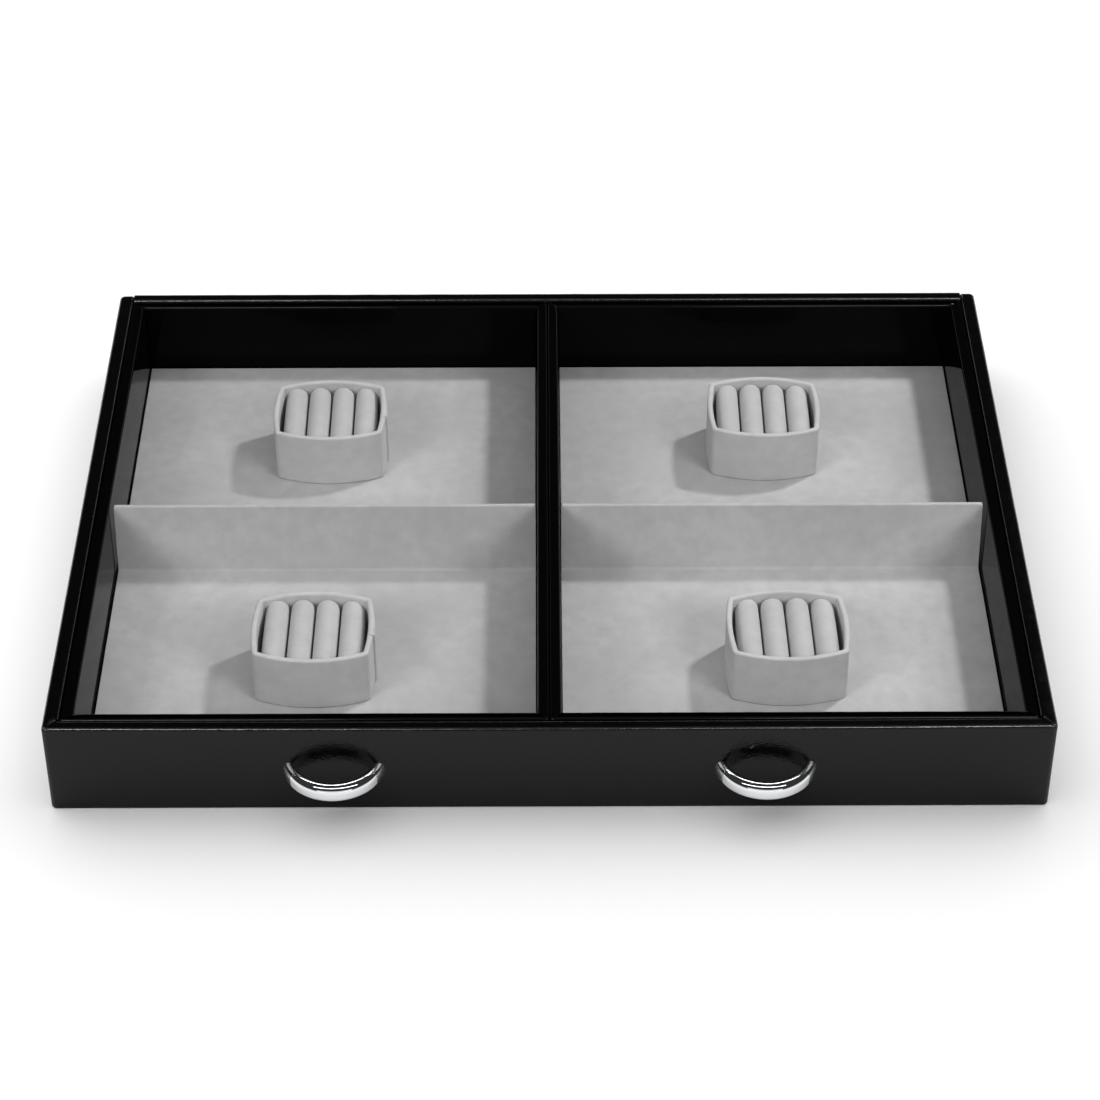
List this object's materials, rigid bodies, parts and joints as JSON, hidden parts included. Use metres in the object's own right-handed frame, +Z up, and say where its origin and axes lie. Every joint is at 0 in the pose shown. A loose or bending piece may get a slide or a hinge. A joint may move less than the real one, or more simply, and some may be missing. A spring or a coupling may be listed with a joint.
{
  "type": "jewellery chest drawer tray",
  "caption": "Shallow leather-covered jewellery drawer tray with lined compartments, folded suede dividers, loose ring boxes with ring rolls, and fixed chrome bow handles on the front.",
  "frame": {"origin": "middle of the tray's footprint, without the handles, on its underside", "axes": "+X to the right along the tray's width, +Y to the back, +Z up; the handles are on the -Y side"},
  "size_m": [0.33, 0.2634, 0.035],
  "materials": {
    "plywood": "matte",
    "black_leather": "satin",
    "liner_leather": "gloss",
    "base_leather": "matte",
    "card": "matte",
    "grey_suede": "matte",
    "roll_suede": "matte",
    "chrome": "polished",
    "steel": "satin"
  },
  "bodies": {
    "tray": {"bottom_board": "plywood", "front_board": "plywood", "back_board": "plywood", "left_board": "plywood", "right_board": "plywood", "front_cover": "black_leather", "back_cover": "black_leather", "left_cover": "black_leather", "right_cover": "black_leather", "base_cover": "base_leather", "left_liner_front": "liner_leather", "left_liner_back": "liner_leather", "left_liner_outer": "liner_leather", "left_liner_centre": "liner_leather", "left_floor_card": "card", "left_floor_suede": "grey_suede", "left_handle": "chrome", "left_handle_nuts": "steel", "right_liner_front": "liner_leather", "right_liner_back": "liner_leather", "right_liner_outer": "liner_leather", "right_liner_centre": "liner_leather", "right_floor_card": "card", "right_floor_suede": "grey_suede", "right_handle": "chrome", "right_handle_nuts": "steel"},
    "left_divider": {"left_divider_card": "card", "left_divider_suede": "grey_suede"},
    "right_divider": {"right_divider_card": "card", "right_divider_suede": "grey_suede"},
    "left_rear_ring_box": {"left_rear_shell": "grey_suede", "left_rear_base": "card", "left_rear_roll_1": "roll_suede", "left_rear_roll_2": "roll_suede", "left_rear_roll_3": "roll_suede", "left_rear_roll_4": "roll_suede"},
    "right_rear_ring_box": {"right_rear_shell": "grey_suede", "right_rear_base": "card", "right_rear_roll_1": "roll_suede", "right_rear_roll_2": "roll_suede", "right_rear_roll_3": "roll_suede", "right_rear_roll_4": "roll_suede"},
    "left_front_ring_box": {"left_front_shell": "grey_suede", "left_front_base": "card", "left_front_roll_1": "roll_suede", "left_front_roll_2": "roll_suede", "left_front_roll_3": "roll_suede", "left_front_roll_4": "roll_suede"},
    "right_front_ring_box": {"right_front_shell": "grey_suede", "right_front_base": "card", "right_front_roll_1": "roll_suede", "right_front_roll_2": "roll_suede", "right_front_roll_3": "roll_suede", "right_front_roll_4": "roll_suede"}
  },
  "joints": [
    {"name": "left_divider_lift", "type": "slide", "parent": "tray", "child": "left_divider", "axis": [0, 0, 1], "range_m": [0, 0.06]},
    {"name": "right_divider_lift", "type": "slide", "parent": "tray", "child": "right_divider", "axis": [0, 0, 1], "range_m": [0, 0.06]},
    {"name": "left_rear_ring_box_lift", "type": "slide", "parent": "tray", "child": "left_rear_ring_box", "axis": [0, 0, 1], "range_m": [0, 0.06]},
    {"name": "right_rear_ring_box_lift", "type": "slide", "parent": "tray", "child": "right_rear_ring_box", "axis": [0, 0, 1], "range_m": [0, 0.06]},
    {"name": "left_front_ring_box_lift", "type": "slide", "parent": "left_divider", "child": "left_front_ring_box", "axis": [0, 0, 1], "range_m": [0, 0.06]},
    {"name": "right_front_ring_box_lift", "type": "slide", "parent": "right_divider", "child": "right_front_ring_box", "axis": [0, 0, 1], "range_m": [0, 0.06]}
  ]
}
